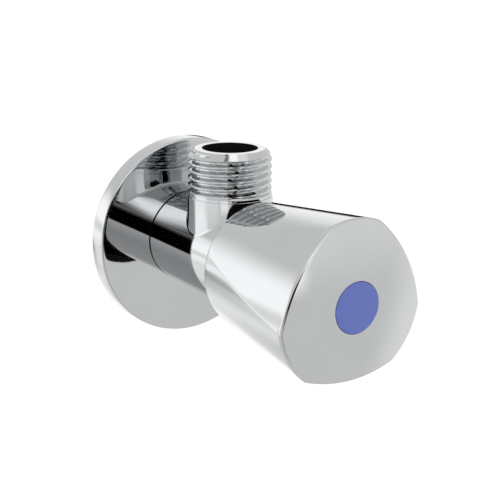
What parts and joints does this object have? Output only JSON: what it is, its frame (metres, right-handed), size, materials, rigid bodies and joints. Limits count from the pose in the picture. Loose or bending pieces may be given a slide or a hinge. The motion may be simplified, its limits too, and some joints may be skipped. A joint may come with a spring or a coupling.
{
  "type": "angle valve",
  "caption": "Chromed quarter-turn angle valve with a round wall flange, a threaded outlet pointing up and a three-cornered knob with a blue index disc.",
  "frame": {"origin": "centre of the wall flange's rear rim, on the axis of the inlet thread and knob", "axes": "+Z along the outlet, away from the valve's axis; -Y out of the wall towards the knob; +Y into the wall"},
  "size_m": [0.0528, 0.0908, 0.0534],
  "materials": {
    "chrome_body": "polished chrome plate on brass",
    "chrome_flange": "polished chrome plate on pressed steel",
    "chrome_knob": "polished chrome plate",
    "brass": "turned brass",
    "steel": "bright zinc plate",
    "ceramic": "lapped alumina ceramic",
    "rubber": "smooth black rubber",
    "white_plastic": "natural acetal",
    "blue_plastic": "satin blue moulded plastic"
  },
  "bodies": {
    "valve_body": {"body": "chrome_body", "cartridge_housing": "brass", "mouth_o_ring": "rubber", "seat_seal": "rubber", "seal_support_ring": "white_plastic", "fixed_disc": "ceramic", "noise_ring": "white_plastic", "glide_washer": "white_plastic", "neck_washer": "white_plastic"},
    "knob": {"knob_shell": "chrome_knob", "index_button": "blue_plastic", "knob_screw": "steel", "spring_washer": "steel", "spline_insert": "white_plastic", "spindle": "brass", "spindle_clip": "steel", "spindle_o_rings": "rubber", "moving_disc": "ceramic"},
    "flange": {"wall_flange": "chrome_flange", "flange_grommet": "rubber"}
  },
  "joints": [
    {"name": "knob_turn", "type": "hinge", "parent": "valve_body", "child": "knob", "pos_m": [0, -0.06, 0], "axis": [0, -1, 0], "range_deg": [0, 90]},
    {"name": "flange_slide", "type": "slide", "parent": "valve_body", "child": "flange", "axis": [0, 1, 0], "range_m": [0, 0.0145]}
  ]
}
